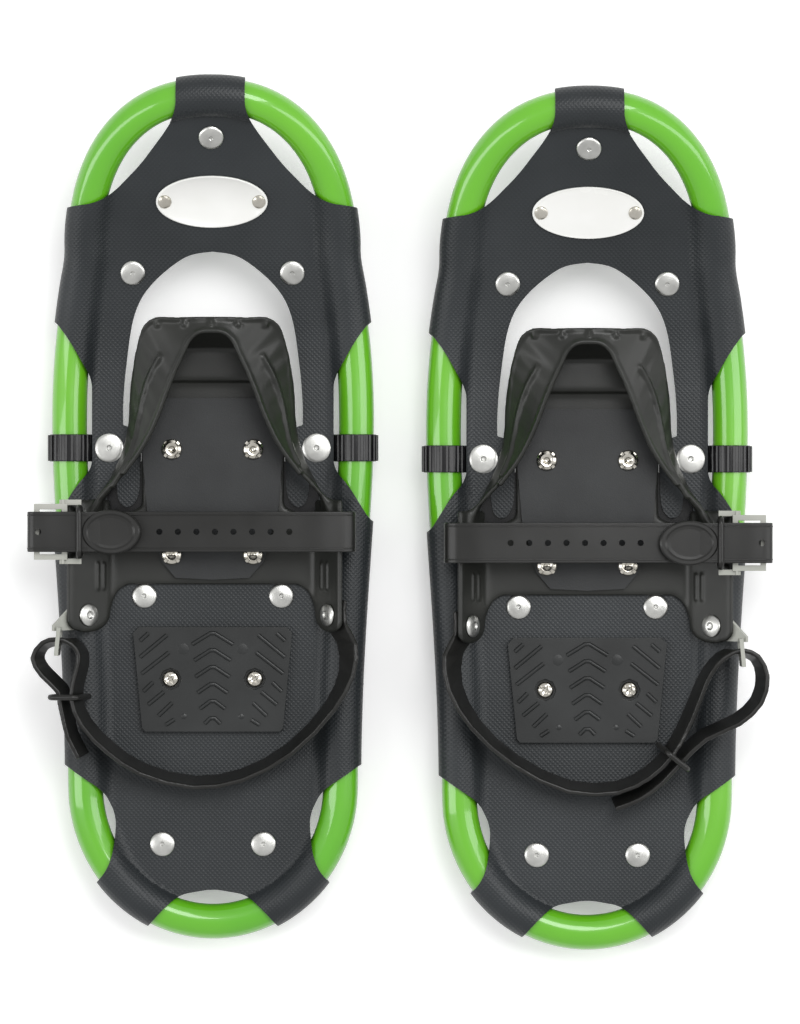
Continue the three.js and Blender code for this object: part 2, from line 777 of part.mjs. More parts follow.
function instepStrap() {
  const middle = (STRAP_LOW + STRAP_HIGH) / 2;
  const reach = INSTEP_LAYER / 2;
  const line = [
    [74.2, STRAP_LOW - 9],
    [76.6, STRAP_LOW - 2.5],
    [74.5, STRAP_LOW + 3],
    [66, STRAP_LOW + 5.2],
    [30, STRAP_LOW + 5.5],
    [-10, STRAP_LOW + 3],
    [-40, STRAP_LOW + 0.6],
    [-62, STRAP_LOW],
    [-80, STRAP_LOW],
    [LOOP_X + 6, STRAP_LOW],
    [LOOP_X + 2.2, middle - reach * 0.8],
    [LOOP_X + 1.25, middle],
    [LOOP_X + 2.2, middle + reach * 0.8],
    [LOOP_X + 6, STRAP_HIGH],
    [-80, STRAP_HIGH],
    [-66, STRAP_HIGH],
    [-50, STRAP_HIGH - 0.8],
  ];
  const half = INSTEP_W / 2;
  const strip = lengthPrism(ribbon(line, WEB_T, 36), INSTEP_Y - half, INSTEP_Y + half);
  const oval = new THREE.Shape();
  const middleX = (TAB_END_X - 70) / 2;
  oval.absellipse(middleX, INSTEP_Y, (TAB_END_X + 70) / 2, 12, 0, 2 * Math.PI);
  const tab = prism(oval, STRAP_HIGH - 2, STRAP_HIGH + 1.6, 8);
  return mesh("instep_strap", join(strip, tab), RUBBER);
}

const BUCKLE_X = -86.5; // middle of the instep buckle

function instepBuckle() {
  const half = INSTEP_W / 2 + 1.2;
  const z = STRAP_LOW + WEB_T / 2 + GAP;
  const ring = placed(prism(framedSlot(6, half, 3), 0, BUCKLE_T), [BUCKLE_X, INSTEP_Y, z]);
  const parts = [ring];
  const edge = wingTop(-1);
  const footTop = z + BUCKLE_T;
  const footZ = edge.z + WING_T * 0.5 + 1;
  for (const side of [-1, 1]) {
    const near = INSTEP_Y + side * (half + 2.3);
    const far = INSTEP_Y + side * (half + 5.3);
    const y = [Math.min(near, far), Math.max(near, far)];
    parts.push(box(BUCKLE_X + 6, -edge.x - 1.2, ...y, z, footTop));
    parts.push(box(-edge.x - 3.8, -edge.x - 1.2, ...y, footZ - 4, z + 1));
    parts.push(box(-edge.x - 3.8, -edge.x + 8, ...y, footZ, footZ + BUCKLE_T));
  }
  return mesh("instep_buckle", join(...parts), GREY);
}

const KEEPER_X = -71;

function instepKeeper() {
  const halfHeight = (INSTEP_LAYER + WEB_T) / 2 + 0.7;
  const shape = framedSlot(INSTEP_W / 2 + 0.6, halfHeight, KEEPER_D);
  const geometry = prism(shape, -KEEPER_D / 2, KEEPER_D / 2);
  const upright = geometry.rotate([90, 0, 90]);
  const z = (STRAP_LOW + STRAP_HIGH) / 2;
  return mesh("instep_keeper", upright.translate([KEEPER_X, INSTEP_Y, z]), RUBBER);
}

// ---- heel strap ----
// The route of the strap's middle line: [x, y, height of its lower edge, lean in degrees].
const HEEL_ROUTE_LEFT = [
  [73, -72, 35, 30],
  [73, -88, 35.2, 22],
  [64, -106.4, 34.6, 16],
  [41.8, -129.8, 26.8, 14],
  [15.7, -143.9, 26.5, 14],
  [-9.8, -147.7, 26.5, 14],
  [-38, -140.5, 27, 14],
  [-55, -129, 32, 14],
  [-68, -115, 37, 14],
  [-73.4, -101, 37.5, 14],
  [-70.5, -87, 37.5, 14],
  [-69.5, -78, 37.5, 12],
  [-74.5, -71.5, 37.5, 8],
  [-82.6, -71, 37.5, 8],
  [-90, -73, 37.5, 10],
  [-94, -80, 37.5, 14],
  [-89.5, -88, 37.5, 14],
  [-80.5, -97, 37.5, 14],
  [-79.3, -104, 37.5, 14],
  [-77.5, -112, 37.5, 14],
  [-75.5, -121, 37, 14],
  [-69.5, -133, 35.5, 14],
];
const HEEL_ROUTE_RIGHT = [
  [73, -72, 35, 30],
  [72, -90, 35.2, 22],
  [61, -110, 34.6, 16],
  [39.1, -130, 26.8, 14],
  [10, -144, 26.5, 14],
  [-16, -144.5, 26.5, 14],
  [-32, -137, 28, 14],
  [-43.5, -125.5, 32.6, 14],
  [-51, -113, 31, 14],
  [-57, -99, 34, 14],
  [-62, -86, 36.5, 12],
  [-68, -76.5, 37.5, 10],
  [-74.5, -71.5, 37.5, 8],
  [-82.6, -71, 37.5, 8],
  [-90, -74, 37.5, 10],
  [-94, -84, 37.5, 14],
  [-91, -97, 37.5, 14],
  [-80, -107.5, 37.5, 14],
  [-62, -116, 34.8, 14],
  [-48.1, -129.4, 32.6, 14],
  [-39, -139.5, 28, 14],
  [-27, -148.5, 26.8, 14],
  [-14, -153.5, 26.5, 14],
];

const HEEL_MIDDLE_Y = -90; // the straps lean away from this point on the shoe's axis

function heelStrap(route) {
  const low = [];
  const high = [];
  route.forEach(([x, y, z, lean], i) => {
    const before = route[Math.max(i - 1, 0)];
    const after = route[Math.min(i + 1, route.length - 1)];
    const out = new THREE.Vector2(after[1] - before[1], before[0] - after[0]).normalize();
    const outwards = Math.sign(out.dot(new THREE.Vector2(x, y - HEEL_MIDDLE_Y)));
    const tilt = (lean * Math.PI) / 180;
    out.multiplyScalar((outwards * HEEL_STRAP_W * Math.sin(tilt)) / 2);
    low.push([x - out.x, y - out.y, z]);
    high.push([x + out.x, y + out.y, z + HEEL_STRAP_W * Math.cos(tilt)]);
  });
  const { x, z, up } = ear(1);
  const distance = WING_T / 2 + 2 * GAP + WEB_T / 2;
  const middle = [x - up[0] * distance, z - up[1] * distance];
  const half = HEEL_STRAP_W / 2;
  for (const y of [EAR_Y - 4, EAR_Y + 8]) {
    low.unshift([middle[0] - up[1] * half, y, middle[1] + up[0] * half]);
    high.unshift([middle[0] + up[1] * half, y, middle[1] - up[0] * half]);
  }
  const strip = band(low, high, WEB_T, 2 * (route.length + 1));
  const hole = onEar(drill(RIVET_SHANK_R, 9), 1, 0);
  return mesh("heel_strap", cut(strip, hole), RUBBER);
}

// A ring or frame that stands round a strap: placed by its middle and by the way the strap runs.
function acrossStrap(body, [x, y, z], alongX, alongY, lean) {
  const along = new THREE.Vector3(alongX, alongY, 0).normalize();
  const width = new THREE.Vector3(along.y, -along.x, 0);
  const tall = new THREE.Vector3(0, 0, 1);
  tall.addScaledVector(width, Math.tan((lean * Math.PI) / 180)).normalize();
  const side = new THREE.Vector3().crossVectors(tall, along);
  const basis = new THREE.Matrix4().makeBasis(side, tall, along).setPosition(x, y, z);
  return body.transform(basis.elements);
}

const HEEL_BUCKLE = [-82.6, -71, 47.4];

function heelBuckle() {
  const slot = framedSlot(5.2, HEEL_STRAP_W / 2 + 0.8, 2.4);
  const plate = prism(slot, -BUCKLE_T / 2, BUCKLE_T / 2);
  const frame = acrossStrap(plate, HEEL_BUCKLE, -1, 0.1, 0);
  const tabShape = outline([[6, 6], [6, -7], [-6, -8], [-20.5, -8.4], [-20.5, -5.4], [-6, 7]]);
  const tab = onEar(prism(tabShape, -BUCKLE_T, 0), -1, -WING_T / 2 - GAP);
  const hole = onEar(drill(RIVET_SHANK_R, 9), -1, 0);
  return mesh("heel_buckle", cut(join(frame, tab), hole), GREY);
}

function heelKeeper(place, alongX, alongY, halfWidth) {
  const slot = framedSlot(halfWidth, HEEL_STRAP_W / 2 + 1.4, KEEPER_D);
  const body = prism(slot, -KEEPER_D / 2, KEEPER_D / 2);
  return mesh("heel_keeper", acrossStrap(body, place, alongX, alongY, -14), RUBBER);
}

// ---- one shoe ----
function shoe(prefix, heelRoute, keeper) {
  const group = new THREE.Group();
  group.add(
    mesh("frame_tube", tubeSolid(TUBE_R, TUBE_R - TUBE_WALL), LACQUER),
    deck(),
    strapEnd(1),
    strapEnd(-1),
    strapMiddle(),
    ...pivotRivets(),
    ...deckRivets(),
    namePlate(),
    heelPad(),
    heelCrampon(),
    harness(),
    footPad(),
    toeCrampon(),
    ...bindingBolts(),
    ...earRivets(),
    instepStrap(),
    instepBuckle(),
    instepKeeper(),
    heelStrap(heelRoute),
    heelBuckle(),
    heelKeeper(...keeper),
  );
  for (const piece of group.children) {
    piece.name = `${prefix}_${piece.name}`;
  }
  return group;
}

const pair = new THREE.Group();
const left = shoe("left", HEEL_ROUTE_LEFT, [[-76.6, -101, 47.3], 0, 1, 6]);
const right = shoe("right", HEEL_ROUTE_RIGHT, [[-45.8, -127.5, 42.4], -0.64, 0.77, 6]);
const toeReach = TOE_Y + TOE_LEN + TUBE_R + GAP + DECK_T;
const tailReach = TAIL_LEN - TAIL_Y + TUBE_R;
const middleY = (tailReach - toeReach) / 2;
left.position.set(-SHOE_PITCH / 2, middleY + STAGGER / 2, 0);
right.position.set(SHOE_PITCH / 2, middleY - STAGGER / 2, 0);
right.scale.x = -1;
pair.add(left, right);

export default pair;
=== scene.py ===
# %% [markdown]
# # A pair of children's snowshoes
# The construction comes in as a fixed frame: every tube, strap and rivet at its real size and place.
# This lesson dresses it. Smooth tubes replace the coarse ones, the deck gets its woven surface, and
# the rubber parts get the soft edges that a mould leaves. Blender works in metres. Most sizes below
# are written in millimetres, and `MM` or `spot` turns them into metres.

# %% Load the frame
import json
import math

import bpy
from mathutils import Matrix, Vector

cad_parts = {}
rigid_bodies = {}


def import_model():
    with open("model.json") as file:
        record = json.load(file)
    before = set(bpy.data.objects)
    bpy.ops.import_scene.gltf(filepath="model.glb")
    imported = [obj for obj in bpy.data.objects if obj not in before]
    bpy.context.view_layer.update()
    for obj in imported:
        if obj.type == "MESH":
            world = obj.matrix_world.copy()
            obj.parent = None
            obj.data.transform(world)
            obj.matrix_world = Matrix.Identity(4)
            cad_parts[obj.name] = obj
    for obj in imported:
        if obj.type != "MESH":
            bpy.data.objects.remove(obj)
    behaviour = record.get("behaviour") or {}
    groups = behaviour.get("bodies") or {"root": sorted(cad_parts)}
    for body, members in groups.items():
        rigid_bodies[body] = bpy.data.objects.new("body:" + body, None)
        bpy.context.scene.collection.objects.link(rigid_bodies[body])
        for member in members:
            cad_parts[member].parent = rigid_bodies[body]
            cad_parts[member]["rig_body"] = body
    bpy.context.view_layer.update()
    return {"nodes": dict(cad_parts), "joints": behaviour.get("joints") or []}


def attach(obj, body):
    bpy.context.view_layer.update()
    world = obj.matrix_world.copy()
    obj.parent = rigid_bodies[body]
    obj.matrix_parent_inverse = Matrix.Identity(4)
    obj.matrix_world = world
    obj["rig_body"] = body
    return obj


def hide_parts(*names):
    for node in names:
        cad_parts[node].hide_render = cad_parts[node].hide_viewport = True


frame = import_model()
scene = bpy.context.scene
MM = 0.001

# %% [markdown]
# ## Where things are
# One shoe mirrors the other, so nearly everything is modelled once, on the left shoe, and copied.
# Two facts from the frame place it all: the hinge that the foot turns on, and how far the right
# shoe lies behind the left one. `spot` turns millimetres on the left shoe into a point in space.

# %% Find the left shoe's own axes
pivot = next(j for j in frame["joints"] if j["name"] == "left_binding_pivot")["pos_m"]
twin_pivot = next(j for j in frame["joints"] if j["name"] == "right_binding_pivot")["pos_m"]
PIVOT_FORWARD = 33.4  # millimetres from the middle of the shoe to its hinge
SHOE_X = pivot[0]
SHOE_Y = pivot[1] - PIVOT_FORWARD * MM
STAGGER = twin_pivot[1] - pivot[1]


def spot(x, y, z):
    return Vector((SHOE_X + x * MM, SHOE_Y + y * MM, z * MM))


print("left shoe's middle", round(SHOE_X, 4), round(SHOE_Y, 4), "stagger", round(STAGGER, 4))

# %% [markdown]
# ## Working by hand, in code
# An operator acts on whatever is selected, so each step starts by selecting one thing only.
# These helpers are the few moves that every piece needs: add, select, join, apply, edit and copy.

# %% Helpers for selecting, joining and applying
def linked(name, data):
    piece = bpy.data.objects.new(name, data)
    scene.collection.objects.link(piece)
    return piece


def only(piece):
    bpy.ops.object.select_all(action="DESELECT")
    piece.select_set(True)
    bpy.context.view_layer.objects.active = piece
    return piece


def join(*pieces):
    only(pieces[0])
    for piece in pieces:
        piece.select_set(True)
    bpy.ops.object.join()
    return bpy.context.view_layer.objects.active


def apply_modifier(piece, kind, **settings):
    only(piece)
    modifier = piece.modifiers.new(kind.lower(), kind)
    for name, value in settings.items():
        setattr(modifier, name, value)
    bpy.ops.object.modifier_apply(modifier=modifier.name)
    return piece


def combine(piece, other, operation, solver="EXACT"):
    apply_modifier(piece, "BOOLEAN", object=other, operation=operation, solver=solver)
    bpy.data.objects.remove(other)
    return piece


def smooth(piece, angle=35):
    only(piece)
    bpy.ops.object.shade_smooth_by_angle(angle=math.radians(angle), keep_sharp_edges=False)
    return apply_modifier(piece, "WEIGHTED_NORMAL", keep_sharp=True)


def outward(piece):
    only(piece)
    bpy.ops.object.mode_set(mode="EDIT")
    bpy.ops.mesh.select_all(action="SELECT")
    bpy.ops.mesh.remove_doubles(threshold=1e-6)
    bpy.ops.mesh.normals_make_consistent(inside=False)
    bpy.ops.mesh.select_all(action="DESELECT")
    bpy.ops.object.mode_set(mode="OBJECT")
    return piece


# %% [markdown]
# A frame part whose shape is already right is copied, its loose triangles are merged into clean
# faces, and its edges are rounded. Moulded rubber and stamped metal never have knife edges.

# %% Copy a frame part and soften its edges
def frame_copy(name):
    piece = linked(name, frame["nodes"][name].data.copy())
    piece.data.materials.clear()
    only(piece)
    bpy.ops.object.mode_set(mode="EDIT")
    bpy.ops.mesh.select_all(action="SELECT")
    bpy.ops.mesh.remove_doubles(threshold=1e-5)
    bpy.ops.mesh.dissolve_limited(angle_limit=math.radians(3))
    bpy.ops.mesh.select_all(action="DESELECT")
    bpy.ops.object.mode_set(mode="OBJECT")
    return piece


def soft_edges(piece, width, segments=3, angle=32):
    return apply_modifier(
        piece, "BEVEL", width=width * MM, segments=segments, limit_method="ANGLE",
        angle_limit=math.radians(angle), use_clamp_overlap=True,
    )


# Voxels melt joined shapes into one skin with rounded creases, as in a mould.
def melt(piece, voxel, rounds):
    apply_modifier(piece, "REMESH", mode="VOXEL", voxel_size=voxel * MM)
    apply_modifier(piece, "SMOOTH", factor=0.5, iterations=rounds)
    return smooth(piece, 60)


# %% [markdown]
# Each finished piece is told three things: the body it moves with, the frame part it stands for,
# and the finish it has. `pair` does that for the left piece and for its mirrored twin.

# %% Hand a finished piece to the frame
def hand_over(piece, node, material):
    piece.data.materials.clear()
    piece.data.materials.append(material)
    piece.name = f"{node}_dressed"
    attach(piece, frame["nodes"][node]["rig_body"])
    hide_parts(node)


def mirror_copy(piece, name):
    twin = linked(name, piece.data.copy())
    twin.data.transform(Matrix.Diagonal((-1, 1, 1, 1)))
    twin.data.transform(Matrix.Translation((0, STAGGER, 0)))
    twin.data.flip_normals()
    only(twin)
    bpy.ops.mesh.customdata_custom_splitnormals_clear()
    return apply_modifier(twin, "WEIGHTED_NORMAL", keep_sharp=True)


def pair(piece, node, material):
    twin = mirror_copy(piece, "right_" + piece.name.removeprefix("left_"))
    hand_over(piece, "left_" + node, material)
    hand_over(twin, "right_" + node, material)
    print(piece.name, "and twin:", len(piece.data.polygons), "faces each")
    return piece, twin


# %% [markdown]
# ## Camera
# The shoes are seen from straight above, from far enough that the raised toes hardly lean out.

# %% Set the camera
CAMERA_HEIGHT = 3.5
VIEW_HEIGHT = 0.556  # what the picture shows from top to bottom, at the frame tubes
TUBE_HEIGHT = 0.022
CAMERA_Y = 0.0015
SENSOR_MM = 36
camera_data = bpy.data.cameras.new("camera")
camera_data.sensor_width = SENSOR_MM
camera_data.lens = SENSOR_MM * (CAMERA_HEIGHT - TUBE_HEIGHT) / VIEW_HEIGHT
camera = linked("camera", camera_data)
camera.location = (0, CAMERA_Y, CAMERA_HEIGHT)
scene.camera = camera
print("lens", round(camera_data.lens, 1), "mm")

# %% [markdown]
# ## Materials
# A finish is a base colour with a little drift in it, a roughness, and relief from a fine pattern.
# The relief goes through a Bump node. Patterns read Object coordinates, which here are metres, so
# a scale of 800 repeats about every millimetre.

# %% A small kit for shader nodes
NOISE_DETAIL = 3.0


def new_material(name, colour, roughness, metallic=0.0, **sockets):
    material = bpy.data.materials.new(name)
    material.use_nodes = True
    shader = material.node_tree.nodes["Principled BSDF"]
    shader.inputs["Base Color"].default_value = (*colour, 1)
    shader.inputs["Roughness"].default_value = roughness
    shader.inputs["Metallic"].default_value = metallic
    for socket, value in sockets.items():
        shader.inputs[socket.replace("_", " ")].default_value = value
    return material


def shader_node(material, kind, **inputs):
    made = material.node_tree.nodes.new(kind)
    for socket, value in inputs.items():
        name = socket.replace("_", " ")
        if hasattr(value, "links"):
            material.node_tree.links.new(value, made.inputs[name])
        else:
            made.inputs[name].default_value = value
    return made


def object_point(material):
    return material.node_tree.nodes.new("ShaderNodeTexCoord").outputs["Object"]


def plug(material, value, socket):
    shader = material.node_tree.nodes["Principled BSDF"]
    material.node_tree.links.new(value, shader.inputs[socket])


def noise(material, scale):
    made = shader_node(
        material, "ShaderNodeTexNoise", Vector=object_point(material), Scale=scale, Detail=NOISE_DETAIL,
    )
    return made.outputs["Fac"]


def drift(material, low, high, scale):
    ramp = material.node_tree.nodes.new("ShaderNodeValToRGB")
    material.node_tree.links.new(noise(material, scale), ramp.inputs["Fac"])
    ramp.color_ramp.elements[0].position = 0.3
    ramp.color_ramp.elements[1].position = 0.7
    ramp.color_ramp.elements[0].color = (*low, 1)
    ramp.color_ramp.elements[1].color = (*high, 1)
    return ramp.outputs["Color"]


def relief(material, height, strength, distance):
    bump = shader_node(
        material, "ShaderNodeBump", Height=height, Strength=strength, Distance=distance * MM,
    )
    plug(material, bump.outputs["Normal"], "Normal")


def span(material, value, low, high):
    made = shader_node(material, "ShaderNodeMapRange", Value=value, To_Min=low, To_Max=high)
    return made.outputs["Result"]


# %% [markdown]
# The tubes are lacquered: a clear coat over a strong green that drifts slightly in depth, with an
# orange-peel ripple too small to see except in the highlights.

# %% Lacquer
lacquer = new_material("lime_lacquer", (0.13, 0.46, 0.015), 0.3, Coat_Weight=1.0, Coat_Roughness=0.06)
plug(lacquer, drift(lacquer, (0.10, 0.42, 0.008), (0.15, 0.50, 0.012), 9), "Base Color")
relief(lacquer, noise(lacquer, 260), 0.12, 0.1)
print("lacquer ready")

# %% [markdown]
# The deck is coated fabric. Its threads run on both diagonals, so two sine waves crossed at 45
# degrees make the weave. The coating gives it a soft sheen and a faint cloudiness.

# %% Deck fabric
THREAD_MM = 1.8
WEAVE_SCALE = 2 / (THREAD_MM * MM * 6.283)


def wave(material, angle):
    turn = shader_node(
        material, "ShaderNodeVectorRotate", Vector=object_point(material), Angle=math.radians(angle),
    )
    turn.rotation_type = "Z_AXIS"
    made = shader_node(material, "ShaderNodeTexWave", Vector=turn.outputs["Vector"], Scale=WEAVE_SCALE)
    made.wave_profile = "SIN"
    return made.outputs["Fac"]


def product(material, first, second):
    made = material.node_tree.nodes.new("ShaderNodeMath")
    made.operation = "MULTIPLY"
    material.node_tree.links.new(first, made.inputs[0])
    material.node_tree.links.new(second, made.inputs[1])
    return made.outputs["Value"]


deck_fabric = new_material("deck_fabric", (0.03, 0.034, 0.037), 0.42, Sheen_Weight=0.08,
                           Sheen_Roughness=0.4, Specular_IOR_Level=0.4)
plug(deck_fabric, drift(deck_fabric, (0.013, 0.016, 0.018), (0.025, 0.029, 0.032), 14), "Base Color")
weave = product(deck_fabric, wave(deck_fabric, 45), wave(deck_fabric, -45))
relief(deck_fabric, weave, 0.42, 0.3)
plug(deck_fabric, span(deck_fabric, noise(deck_fabric, 40), 0.36, 0.5), "Roughness")
print("deck fabric ready")

# %% [markdown]
# Moulded rubber is nearly black with a satin face. Fine grain breaks up its highlights, and a
# slower cloud of wear makes some patches duller than others.

# %% Rubber, plastic and metals
def satin(name, low, high, roughness, grain, depth, **sockets):
    material = new_material(name, high, roughness, **{"Specular_IOR_Level": 0.42, **sockets})
    plug(material, drift(material, low, high, 30), "Base Color")
    plug(material, span(material, noise(material, 55), roughness - 0.07, roughness + 0.07), "Roughness")
    relief(material, noise(material, grain), 0.35, depth)
    return material


harness_rubber = satin("harness_rubber", (0.012, 0.013, 0.011), (0.022, 0.023, 0.020), 0.36, 900, 0.08)
strap_rubber = satin("strap_rubber", (0.009, 0.009, 0.008), (0.017, 0.017, 0.016), 0.32, 700, 0.05)
pad_plastic = satin("pad_plastic", (0.013, 0.014, 0.015), (0.022, 0.024, 0.025), 0.45, 1500, 0.16)
heel_plastic = satin("heel_plastic", (0.014, 0.015, 0.015), (0.026, 0.028, 0.028), 0.32, 1100, 0.08)
collar_plastic = satin("collar_plastic", (0.006, 0.006, 0.007), (0.012, 0.012, 0.013), 0.2, 500, 0.04)
buckle_grey = satin("buckle_grey", (0.36, 0.37, 0.33), (0.46, 0.46, 0.42), 0.38, 600, 0.05)
plate_white = satin("plate_white", (0.80, 0.80, 0.77), (0.86, 0.86, 0.84), 0.25, 300, 0.02,
                    Coat_Weight=0.5, Specular_IOR_Level=0.5)
print("rubber and plastic ready")


def metal(name, low, high, roughness, grain):
    material = new_material(name, high, roughness, metallic=1.0)
    plug(material, drift(material, low, high, 120), "Base Color")
    plug(material, span(material, noise(material, 400), roughness - 0.06, roughness + 0.1), "Roughness")
    relief(material, noise(material, grain), 0.3, 0.05)
    return material


rivet_metal = metal("rivet_aluminium", (0.52, 0.52, 0.50), (0.74, 0.74, 0.71), 0.3, 900)
bolt_metal = metal("bolt_steel", (0.55, 0.52, 0.45), (0.78, 0.75, 0.68), 0.2, 700)
crampon_metal = metal("crampon_steel", (0.36, 0.36, 0.37), (0.5, 0.5, 0.5), 0.4, 500)
print("metals ready")

# %% [markdown]
# ## The frame tube
# The tube is one long bend. Its middle line is drawn by formula: an ellipse round the tail, a
# swelling side, and a squarer curve round the toe, which also turns up. A curve with a round bevel
# is the natural way to make it, because the bevel stays perfectly round through every bend.

# %% The tube's middle line
END_X, TOE_Y, TOE_LEN, TAIL_Y, TAIL_LEN = 69.2, 135.6, 86.4, -150, 73.5
TOE_POWER, WAIST, SWELL_POWER = 2.3, 8.7, 1.9
RISE_Y, RISE_LEN, RISE = 70, 152, 45
TUBE_R, TUBE_Z, GAP, DECK_T = 9.5, 22, 0.3, 1.5
DECK_TOP = 25.7
BEND_STEPS, SIDE_STEPS = 14, 18


def lift(y):
    return RISE * ((y - RISE_Y) / RISE_LEN) ** 2 if y > RISE_Y else 0


def slope(y):
    return math.atan(2 * RISE * (y - RISE_Y) / RISE_LEN**2) if y > RISE_Y else 0


def tail_point(a):
    return END_X * math.sin(a), TAIL_Y - TAIL_LEN * math.cos(a)


def side_point(share):
    return END_X + WAIST * math.sin(math.pi * share**SWELL_POWER), TAIL_Y + (TOE_Y - TAIL_Y) * share


def toe_point(a):
    power = 2 / TOE_POWER
    return END_X * max(math.cos(a), 0) ** power, TOE_Y + TOE_LEN * math.sin(a) ** power


def half_line():
    quarter = [math.pi / 2 * i / BEND_STEPS for i in range(BEND_STEPS + 1)]
    points = [tail_point(a) for a in quarter[:-1]]
    points += [side_point(i / SIDE_STEPS) for i in range(SIDE_STEPS + 1)]
    return points + [toe_point(a) for a in quarter[1:]]


half = half_line()
loop = half + [(-x, y) for x, y in reversed(half[1:-1])]
print(len(loop), "points round the frame")

# %% Bevelled curves become tubes
def tube_along(name, points, radius, closed=False, sides=8, smooth_line=True):
    curve = bpy.data.curves.new(name, "CURVE")
    curve.dimensions = "3D"
    curve.bevel_depth = radius * MM
    curve.bevel_resolution = sides
    curve.use_fill_caps = not closed
    curve.resolution_u = 4
    spline = curve.splines.new("BEZIER" if smooth_line else "POLY")
    made = spline.bezier_points if smooth_line else spline.points
    made.add(len(points) - 1)
    for knot, point in zip(made, points):
        knot.co = point if smooth_line else (*point, 1)
        if smooth_line:
            knot.handle_left_type = knot.handle_right_type = "AUTO"
    spline.use_cyclic_u = closed
    only(linked(name, curve))
    bpy.ops.object.convert(target="MESH")
    return smooth(outward(bpy.context.view_layer.objects.active), 60)


def frame_loop(name, radius):
    points = [spot(x, y, TUBE_Z + lift(y)) for x, y in loop]
    return tube_along(name, points, radius, closed=True, sides=10)


pair(frame_loop("left_frame", TUBE_R), "frame_tube", lacquer)

# %% [markdown]
# ## The deck
# The real deck is one flat cut of fabric whose edges are wrapped round the tube. Here a fine grid
# takes the rise of the toe and climbs to the tube at its sides, a fatter tube makes the wraps, and
# one cutter with rounded corners trims both to the same outline.

# %% Cutters from an outline
CUTTER_HEIGHT = 110


def outline_prism(name, half_outline, corner):
    points = half_outline + [(-x, y) for x, y in reversed(half_outline) if x > 0]
    mesh = bpy.data.meshes.new(name)
    mesh.from_pydata([spot(x, y, 0) for x, y in points], [], [list(range(len(points)))])
    piece = only(linked(name, mesh))
    bpy.ops.object.mode_set(mode="EDIT")
    bpy.ops.mesh.select_all(action="SELECT")
    bpy.ops.mesh.bevel(offset=corner * MM, segments=5, affect="VERTICES", clamp_overlap=True)
    bpy.ops.mesh.select_all(action="SELECT")
    bpy.ops.mesh.extrude_region_move(TRANSFORM_OT_translate={"value": (0, 0, CUTTER_HEIGHT * MM)})
    bpy.ops.object.mode_set(mode="OBJECT")
    return outward(piece)


ARM_X = 65.5
DECK_OUTLINE = [
    (18.5, 250), (18.5, 213), (24, 204), (38, 186), (53, 171), (62, 165), (104, 160), (104, 107), (86, 103),
    (77, 91), (72, 82), (ARM_X, 71), (ARM_X, 22), (73.6, 13), (86, -7), (104, -12), (104, -132), (82, -137),
    (69, -146), (58.9, -152.6), (52.4, -166), (53.2, -182.4), (56.5, -194.4), (72, -213), (46, -238.5),
    (27.2, -216.7), (18.5, -209), (0, -205.8),
]
TONGUE_X = 39.6


# A smooth line through the points, by cubic steps whose slopes follow the neighbours.
def through(points, steps):
    ends = [points[0], *points, points[-1]]
    made = []
    for a, b, c, d in zip(ends, ends[1:], ends[2:], ends[3:]):
        for i in range(steps):
            t = i / steps
            weights = (-t + 2 * t**2 - t**3, 2 - 5 * t**2 + 3 * t**3, t + 4 * t**2 - 3 * t**3, t**3 - t**2)
            made.append(tuple(
                sum(w * p[k] for w, p in zip(weights, (a, b, c, d))) / 2 for k in range(len(b))
            ))
    return [*made, tuple(points[-1])]


ARCH = [(0, 139.5), (15.2, 136.2), (33.4, 121.5), (42.6, 104.8), (47, 77.6), (48.6, 58.6), (48.7, 45.8)]
TONGUE = [(TONGUE_X, 36), (TONGUE_X, 14), (41.6, 5), (46.2, 1.2), (50.8, 4.5), (52.3, 14)]
DECK_OPENING = [
    *through(ARCH, 5), (TONGUE_X + 1.5, 43.5), *through(TONGUE, 4),
    (57.5, 12), (57.5, -24), (50, -32), (0, -32),
]
print("deck outline has", 2 * len(DECK_OUTLINE), "corners")

# %% The sheet and its wraps
def frame_x(y):
    for (x0, y0), (x1, y1) in zip(half, half[1:]):
        if y0 <= y <= y1:
            return x0 + (x1 - x0) * (y - y0) / (y1 - y0)
    return 0


def ease(t):
    t = min(max(t, 0), 1)
    return t * t * (3 - 2 * t)


CLIMB_FROM, CLIMB_TO, CLIMB = 14.5, 5.5, 6.6
SHEET_WIDTH, SHEET_LENGTH, SHEET_MIDDLE = 168, 452, 2
WITHIN_FRAME = [
    (0, 218), (26, 217), (48, 205), (62, 180), (70, 140), (73.5, 100), (76, 60), (73, 0), (69, -60),
    (67, -140), (60, -180), (42, -205), (20, -217), (0, -219),
]


def deck_height(x, y):
    inside = frame_x(y) - abs(x)
    climb = CLIMB * ease((CLIMB_FROM - inside) / (CLIMB_FROM - CLIMB_TO))
    return DECK_TOP + lift(y) + climb


bpy.ops.object.select_all(action="DESELECT")
bpy.ops.mesh.primitive_grid_add(x_subdivisions=72, y_subdivisions=170, size=1)
sheet = bpy.context.view_layer.objects.active
sheet.name = "left_deck"
for vertex in sheet.data.vertices:
    x, y = vertex.co.x * SHEET_WIDTH, vertex.co.y * SHEET_LENGTH + SHEET_MIDDLE
    vertex.co = spot(x, y, deck_height(x, y))
apply_modifier(sheet, "SOLIDIFY", thickness=DECK_T * MM, offset=-1)
combine(sheet, outline_prism("within", WITHIN_FRAME, 2), "INTERSECT", "MANIFOLD")
combine(sheet, frame_loop("wrap", TUBE_R + GAP + DECK_T), "UNION", "MANIFOLD")
combine(sheet, outline_prism("trim", DECK_OUTLINE, 5), "INTERSECT", "MANIFOLD")
combine(sheet, outline_prism("opening", DECK_OPENING, 4), "DIFFERENCE", "MANIFOLD")
combine(sheet, frame_loop("clearance", TUBE_R + GAP), "DIFFERENCE", "MANIFOLD")
smooth(sheet, 40)
